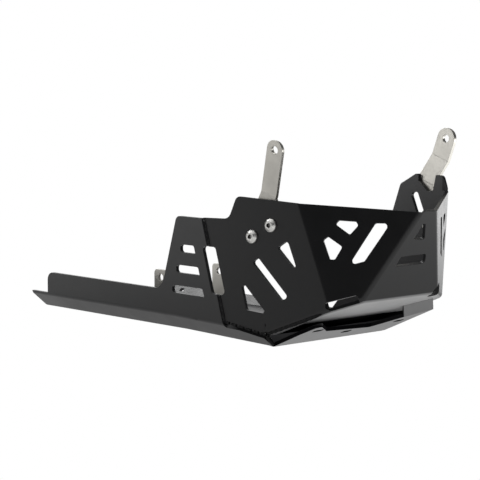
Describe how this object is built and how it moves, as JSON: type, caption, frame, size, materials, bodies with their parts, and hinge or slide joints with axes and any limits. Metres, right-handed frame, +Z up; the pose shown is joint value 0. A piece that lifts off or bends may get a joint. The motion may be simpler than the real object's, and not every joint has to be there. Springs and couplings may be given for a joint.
{
  "type": "motorcycle skid plate",
  "caption": "Folded sheet skid plate for a motorcycle: long belly pan, faceted slotted front bowl, bare metal mounting straps and a rear bracket.",
  "frame": {"origin": "middle of the overall box in plan, on the underside of the front bend of the floor", "axes": "+X forward, +Y to the left of the motorcycle, +Z up"},
  "size_m": [0.5512, 0.2214, 0.229],
  "materials": {
    "black_coat": "satin powder coat",
    "bare_steel": "bare satin",
    "screw_steel": "bright plated"
  },
  "bodies": {
    "root": {"belly_pan": "black_coat", "front_bowl": "black_coat", "right_bracket": "bare_steel", "left_bracket": "bare_steel", "bracket_screws": "screw_steel", "bracket_nuts": "bare_steel", "rear_bracket": "bare_steel", "rear_screws": "screw_steel", "rear_nuts": "bare_steel"}
  },
  "joints": []
}
